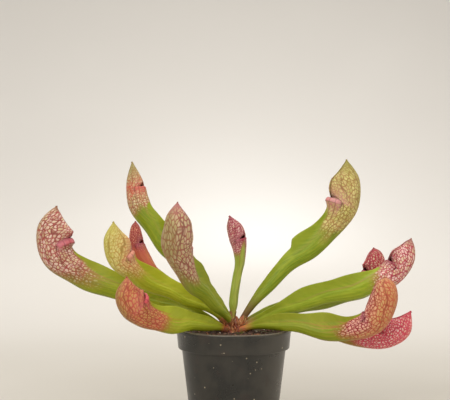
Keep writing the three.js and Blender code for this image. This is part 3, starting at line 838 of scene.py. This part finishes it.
def potMaterial():
    # black plastic, shaded on the left and lit on the right, with a painted highlight along the rim's top,
    # water films, peat stains and dust
    finish = Finish("pottingPlastic", plastic["roughness"][1])
    place = finish.place()
    cloud = finish.noise(place, 60, 4)
    film = finish.noise(finish.stretch(place, (1, 1, 0.25)), 220, 4)
    x, _, height = finish.parts(place)
    stains = finish.noise(place, 95, 3)
    colour = finish.mix(finish.band(cloud, 0.35, 0.7), plastic["dark"], plastic["light"])
    for share, layer in (
        (finish.band(film, 0.54, 0.85, 0, 0.1), "film"),
        (finish.band(x, -0.02, -0.038, 0, 0.8), "shaded"),
        (finish.band(x, 0.008, 0.036, 0, 0.45), "lit"),
        # a thin painted highlight along the top edge of the rim
        (finish.band(height, 0.0788, 0.0798, 0, 0.45), "rimHighlight"),
        (finish.band(stains, 0.58, 0.68, 0, 0.35), "stain"),
        (finish.times(potDust(finish, place), 0.85), "dust"),
    ):
        colour = finish.mix(share, colour, plastic[layer])
    rough = finish.band(cloud, 0.3, 0.75, *plastic["roughness"])
    normal = finish.bump(finish.noise(place, 1500, 3), 0.00003, 0.4)
    return finish.wear(Base_Color=colour, Roughness=rough, Normal=normal)


def potDust(finish, place):
    # one speck in a cell here and there, with a ragged outline
    specks = finish.node("TexVoronoi", {"feature": "F1"}, Vector=place, Scale=330.0, Randomness=1.0).outputs
    chosen = finish.band(specks["Color"], 0.77, 0.79)
    spread = finish.sums("MULTIPLY_ADD", finish.noise(place, 700, 2), -0.3, specks["Distance"])
    return finish.times(finish.band(spread, -0.04, 0.07, 1, 0), chosen)


def potProfile():
    # up the outside, over the rim and down the inside
    height, rim, band, foot = [pot[key] for key in ("height", "rim", "band", "foot")]
    wall, floor = pot["wall"], pot["floor"]
    shoulder = height - pot["bandHeight"]
    ledge = bodyRadius(shoulder)
    return [
        (0, 1.0), (foot - 4, 1.0), (foot - 3.2, 0), (foot - 0.8, 0), (foot, 0.8),
        (bodyRadius(shoulder - 1.4), shoulder - 1.4), (ledge + 0.1, shoulder - 0.3), (band - 0.4, shoulder),
        (band, shoulder + 0.5), (band + 0.12, shoulder + 1.6), (rim - 0.5, height - 3.2), (rim, height - 2.4),
        (rim, height - 0.8), (rim - 0.5, height), (rim - 1.4, height), (rim - wall - 1, height - 1.2),
        (rim - wall - 1.1, height - 3), (ledge - wall + 1.4, shoulder + 1), (ledge - wall, shoulder - 2),
        (bodyRadius(floor) - wall, floor), (0, floor),
    ]


def cutHoles(piece):
    bm = bmesh.new()
    for k in range(pot["holes"]):
        at = polar(pot["holeRing"], 360 * k / pot["holes"], 1)
        bmesh.ops.create_cone(bm, cap_ends=True, segments=32, radius1=pot["holeRadius"],
                              radius2=pot["holeRadius"], depth=8, matrix=Matrix.Translation(at))
    bmesh.ops.scale(bm, vec=(mm, mm, mm), verts=bm.verts)
    cutter = makeObject("drainCutter", bm)
    cut = piece.modifiers.new("drains", "BOOLEAN")
    cut.object, cut.operation, cut.solver = cutter, "DIFFERENCE", "EXACT"
    whole = bpy.data.meshes.new_from_object(piece.evaluated_get(bpy.context.evaluated_depsgraph_get()))
    piece.modifiers.clear()
    piece.data = whole
    bpy.data.objects.remove(cutter)
    whole.shade_smooth()


def makePot():
    bm = spinProfile(potProfile(), pot["steps"])
    bmesh.ops.recalc_face_normals(bm, faces=bm.faces)
    piece = addPiece("nurseryPot", bm, potMaterial(), "pot_plastic", ["pot"])
    cutHoles(piece)
    soft = piece.modifiers.new("soften", "BEVEL")
    soft.width, soft.segments = pot["soften"] * mm, 2
    soft.limit_method, soft.angle_limit = "ANGLE", math.radians(28)
    soft.harden_normals = False


makePot()
print("pot is ready")


# The potting mix, with loose grains and moss on it. crest is how much higher it lies in the middle.

mix = dict(level=75.5, crest=1.6, edge=41.6, bottom=2.1, bottomRadius=30.9, steps=180, rings=56, seed=417,
           rough=1.15, colours=((38, 27, 22), (78, 54, 42), (88, 84, 50)))

# size is in mm, and uneven is 2 where small grains are more common. wide and thick are shares of the size,
# drawn for each grain where two are given. raised is how far a grain stands out. bumps is how many there are
# on a grain and per mm, and bumpSize their share of it. Grains smaller than plain get fewer faces.
grains = [
    dict(name="peatCrumbs", count=520, size=(0.5, 1.9), uneven=2, wide=(0.6, 0.95), thick=(0.5, 0.8),
         raised=0, bumps=(1.1, 0), bumpSize=0.3, seed=0, plain=1, scale=700.0,
         colours=((52, 36, 28), (104, 70, 56), (136, 104, 80))),
    dict(name="barkChips", count=40, size=(1.2, 3.2), uneven=1, wide=(0.35, 0.6), thick=0.22, raised=0,
         bumps=(0, 0.8), bumpSize=0.22, seed=40, plain=0, scale=900.0,
         colours=((116, 70, 44), (170, 112, 78), (92, 54, 40))),
    dict(name="perliteGrains", count=13, size=(0.5, 1.15), uneven=1, wide=0.85, thick=0.75, raised=0.3,
         bumps=(0, 1.6), bumpSize=0.25, seed=90, plain=0, scale=1200.0,
         colours=((226, 220, 206), (204, 196, 180), (186, 170, 146))),
]
moss = dict(count=150, clumps=9, spread=2.4, tall=(0.8, 2.2), leaves=7, leafLength=(0.8, 0.45), scale=600.0,
            colours=((100, 108, 44), (150, 148, 72), (84, 74, 40)))


def mixHeight(x, y):
    share = clamp(math.hypot(x, y) / mix["edge"])
    rough = noise.fractal(Vector((x * 0.16, y * 0.16, 3.1)), 0.7, 2.1, 5) * mix["rough"]
    return mix["level"] + mix["crest"] * (1 - share * share) + rough * smoothDown(0.95, 1, share)


def soilMaterial(name, colours, scale):
    finish = Finish(name, 0.9)
    place = finish.place()
    cloud = finish.noise(place, scale, 4)
    patch = finish.noise(place, scale * 0.22, 3)
    colour = finish.mix(finish.band(cloud, 0.35, 0.65), colours[0], colours[1])
    colour = finish.mix(finish.band(patch, 0.5, 0.72, 0, 0.8), colour, colours[2])
    return finish.wear(Base_Color=colour, Normal=finish.bump(cloud, 0.0005, 0.8),
                       Roughness=finish.band(patch, 0.3, 0.7, 0.72, 0.95))


def scatterPlace(rng, size):
    # anywhere on the mix between the crown and the wall
    crownEdge = 10.5
    reach = math.sqrt(rng.uniform((crownEdge / mix["edge"]) ** 2, 0.93)) * (mix["edge"] - size * 0.4)
    at = polar(reach, rng.uniform(0, 360), 0)
    at.z = mixHeight(at.x, at.y)
    return at


def turned(rng):
    spin = Matrix.Rotation(rng.uniform(0, math.tau), 4, "Z")
    for axis in "XY":
        spin = spin @ Matrix.Rotation(rng.uniform(-0.7, 0.7), 4, axis)
    return spin


def drawn(rng, share):
    return rng.uniform(*share) if isinstance(share, tuple) else share


def makeGrains(rng, grain):
    # loose grains on the mix, each one a flattened ball with a rough skin
    bm = bmesh.new()
    for k in range(grain["count"]):
        size = lerp(*grain["size"], rng.random() ** grain["uneven"])
        at = scatterPlace(rng, size) + Vector((0, 0, size * grain["raised"]))
        place = Matrix.Translation(at) @ turned(rng)
        wide, thick = drawn(rng, grain["wide"]), drawn(rng, grain["thick"])
        shape = Matrix.Diagonal((size, size * wide, size * thick, 1))
        ball = bmesh.ops.create_icosphere(bm, subdivisions=1 if size < grain["plain"] else 2, radius=1,
                                          matrix=place @ shape)
        onGrain, perMm = grain["bumps"]
        for vert in ball["verts"]:
            spot = vert.co * (onGrain / size + perMm) + Vector((grain["seed"] + k, 0, 0))
            vert.co += noise.noise_vector(spot) * (grain["bumpSize"] * size)
    material = soilMaterial(grain["name"], grain["colours"], grain["scale"])
    addPiece(grain["name"], bm, material, "potting_mix")


def makeMoss(rng):
    # short stems with small pointed leaves round them, in a few clumps
    bm = bmesh.new()
    clumps = [scatterPlace(rng, 3) for _ in range(moss["clumps"])]
    for k in range(moss["count"]):
        at = rng.choice(clumps) + Vector((rng.gauss(0, moss["spread"]), rng.gauss(0, moss["spread"]), 0))
        if at.xy.length > mix["edge"] - 1.5 or at.xy.length < 9:
            continue
        at.z = mixHeight(at.x, at.y) - 0.1
        tall = rng.uniform(*moss["tall"])
        lean = Vector((rng.uniform(-0.5, 0.5), rng.uniform(-0.5, 0.5), 1)).normalized()
        for leaf in range(moss["leaves"]):
            up = leaf / moss["leaves"]
            out = polar(1, leaf * 137 + k * 40, 0)
            root = at + lean * tall * up
            tip = root + (out * 0.8 + lean * 0.9) * lerp(*moss["leafLength"], up)
            aim = (tip - root).to_track_quat("Z", "Y").to_matrix().to_4x4()
            aim.translation = (root + tip) / 2
            bmesh.ops.create_cone(bm, cap_ends=True, segments=4, radius1=0.17, radius2=0.02,
                                  depth=(tip - root).length, matrix=aim)
    addPiece("mossTufts", bm, soilMaterial("moss", moss["colours"], moss["scale"]), "potting_mix")


def makeMix():
    below = [(0.001, mix["bottom"]), (mix["bottomRadius"], mix["bottom"]), (38.7, 63), (40.4, 66.2),
             (mix["edge"], mix["level"] - 0.6)]
    top = [(mix["edge"] * (1 - k / mix["rings"]), mix["level"]) for k in range(mix["rings"])]
    bm = spinProfile([*below, *top, (0.001, mix["level"])], mix["steps"])
    for vert in bm.verts:
        if vert.co.z > mix["level"] - 0.1:
            vert.co.z = mixHeight(vert.co.x, vert.co.y)
    bmesh.ops.recalc_face_normals(bm, faces=bm.faces)
    addPiece("pottingMix", bm, soilMaterial("peat", mix["colours"], 500.0), "potting_mix", ["potting_mix"])


def dressMix():
    rng = random.Random(mix["seed"])
    for grain in grains:
        makeGrains(rng, grain)
    makeMoss(rng)


makeMix()
dressMix()
print("potting mix is ready")


# The crown, with the sheaths of the leaves and the dry scales of old ones. headings are where scales stand.

crown = dict(radius=9.2, height=12.5, depth=9, seed=29, red=(186, 98, 64), brown=(112, 58, 44),
             tan=(240, 184, 130))
sheaths = dict(reach=(4.5, 7.5), gape=(35, 55), gap=0.2, thickness=0.35,
               colours=((190, 108, 72), (150, 124, 68), (140, 76, 56)))
scales = dict(headings=[262, 274, 287, 300, 330, 95, 240, 20, 140, 200, 60, 315], length=(3.5, 7.5),
              width=(1.2, 2.4), curl=(-0.9, 0.9), thickness=0.3, dark=(84, 48, 38))
threads = dict(count=16, sides=6, rows=13, root=0.26, tip=0.08,
               colours=((64, 46, 36), (120, 92, 60), (44, 34, 30)))


def crownMaterial(name, colours, scale):
    finish = Finish(name, 0.62)
    place = finish.place()
    lines = finish.noise(finish.stretch(place, (1, 1, 0.3)), scale * 1.8, 3)
    patch = finish.noise(place, scale * 0.4, 3)
    colour = finish.mix(finish.band(lines, 0.38, 0.62), colours[0], colours[1])
    colour = finish.mix(finish.band(patch, 0.5, 0.7, 0, 0.85), colour, colours[2])
    return finish.wear(Base_Color=colour, Normal=finish.bump(lines, 0.0004, 0.7),
                       Roughness=finish.band(patch, 0.3, 0.7, 0.45, 0.7))


def makeRootstock():
    # a knobbly ball, stretched between its depth in the mix and its height over it
    bm = bmesh.new()
    foot, top = mix["level"] - crown["depth"], mix["level"] + crown["height"]
    for vert in bmesh.ops.create_icosphere(bm, subdivisions=5, radius=1)["verts"]:
        d = vert.co.copy()
        reach = crown["radius"] * (1 + 0.1 * noise.fractal(d * 1.8, 0.8, 2.0, 4)) * (0.86 if d.z > 0 else 1)
        height = lerp(foot, top, (d.z + 1) / 2) - 1.6 * smooth(0.4, 1, d.z)
        vert.co = Vector((d.x * reach, d.y * reach, height))
        vert.co += noise.noise_vector(vert.co * 0.5) * 0.5
    # its tan patches are partly tan tissue and partly painted highlights on the knobs
    rootstock = crownMaterial("rootstock", (crown["red"], crown["brown"], crown["tan"]), 420.0)
    addPiece("rootstock", bm, rootstock, "crown", ["crown"])


def makeSheaths(rng):
    # a torn sheath round the foot of each leaf, open along the wing
    bm = bmesh.new()
    for n, plant in enumerate(pitchers):
        sections = pitcherSections(plant, 120)
        reach = rng.uniform(*sheaths["reach"]) / plant["length"]
        gape = rng.uniform(*sheaths["gape"])

        def place(u, v):
            angle = lerp(gape, 360 - gape, u)
            side, mirrored = (1, angle) if angle < 180 else (-1, 360 - angle)
            s = v * reach * (1 - 0.18 * abs(math.sin(u * 23 + n)) * v)  # the upper edge is ragged
            point, way = pitcherPoint(plant, sections, mirrored, side, s, 0, -sheaths["gap"])
            return point + way * (0.1 + 0.35 * (1 - v) + 0.4 * max(v - 0.75, 0) * math.sin(u * 9 + n))

        gridSheet(bm, 28, 12, place)
    piece = addPiece("leafSheaths", bm, crownMaterial("leafSheath", sheaths["colours"], 300.0), "crown")
    thicken(piece, sheaths["thickness"])


def bladeSheet(bm, spine, width, curl, outward):
    # a thin pointed blade along a spine of points, curled across its width
    def place(u, v):
        k = min(int(v * (len(spine) - 1)), len(spine) - 2)
        middle = spine[k].lerp(spine[k + 1], v * (len(spine) - 1) - k)
        ahead = (spine[k + 1] - spine[k]).normalized()
        across = ahead.cross(outward).normalized()
        out = across.cross(ahead).normalized()
        half = width / 2 * (1 - v ** 1.6) ** 0.8 + 0.06
        a = (u - 0.5) * 2
        return middle + across * a * half + out * (curl * half * (a * a - 0.3))

    gridSheet(bm, 6, 14, place)


def makeScales(rng):
    bm = bmesh.new()
    for heading in [h for h in scales["headings"] for _ in range(2)]:
        lean = rng.uniform(-26, 26)
        height = mix["level"] + rng.uniform(1, 8)
        length = rng.uniform(*scales["length"])
        turn = heading + rng.uniform(-12, 12)
        start = polar(crown["radius"] - 2.2, turn, height)
        middle = polar(crown["radius"] + rng.uniform(0.4, 1.8), turn + lean * 0.5, height + length * 0.6)
        end = polar(crown["radius"] + rng.uniform(-0.6, 1.6), turn + lean, height + length)
        spine = interpolate_bezier(start, start.lerp(middle, 0.7), end.lerp(middle, 0.7), end, 12)
        width, curl = rng.uniform(*scales["width"]), rng.uniform(*scales["curl"])
        bladeSheet(bm, spine, width, curl, polar(1, turn, 0.2))
    material = crownMaterial("dryScale", (crown["tan"], crown["red"], scales["dark"]), 300.0)
    thicken(addPiece("dryScales", bm, material, "crown"), scales["thickness"])


def makeThreads(rng):
    # dry threads that bend over at the crown
    bm = bmesh.new()
    rows = threads["rows"]
    for _ in range(threads["count"]):
        turn = rng.uniform(0, 360)
        height = mix["level"] + rng.uniform(2, 9)
        start = polar(crown["radius"] - 2.5, turn, height)
        end = start + Vector((rng.uniform(-5, 5), rng.uniform(-5, 5), rng.uniform(1, 9)))
        bend = start + Vector((rng.uniform(-2, 2), rng.uniform(-2, 2), rng.uniform(4, 9)))
        spine = interpolate_bezier(start, bend, end + Vector((0, 0, 2)), end, rows + 1)

        def place(u, v):
            i = min(int(v * rows), rows - 1)
            middle = spine[i].lerp(spine[i + 1], v * rows - i)
            ahead = (spine[i + 1] - spine[i]).to_track_quat("Z", "Y")
            radius = lerp(threads["root"], threads["tip"], v)
            return middle + ahead @ Vector((math.cos(u * math.tau), math.sin(u * math.tau), 0)) * radius

        gridSheet(bm, threads["sides"], rows, place)
    bmesh.ops.remove_doubles(bm, verts=bm.verts, dist=0.004)
    bmesh.ops.holes_fill(bm, edges=[e for e in bm.edges if e.is_boundary], sides=8)
    bmesh.ops.recalc_face_normals(bm, faces=bm.faces)
    addPiece("dryThreads", bm, crownMaterial("dryThread", threads["colours"], 500.0), "crown")


makeRootstock()
rng = random.Random(crown["seed"])
for make in (makeSheaths, makeScales, makeThreads):
    make(rng)
print("crown is ready")
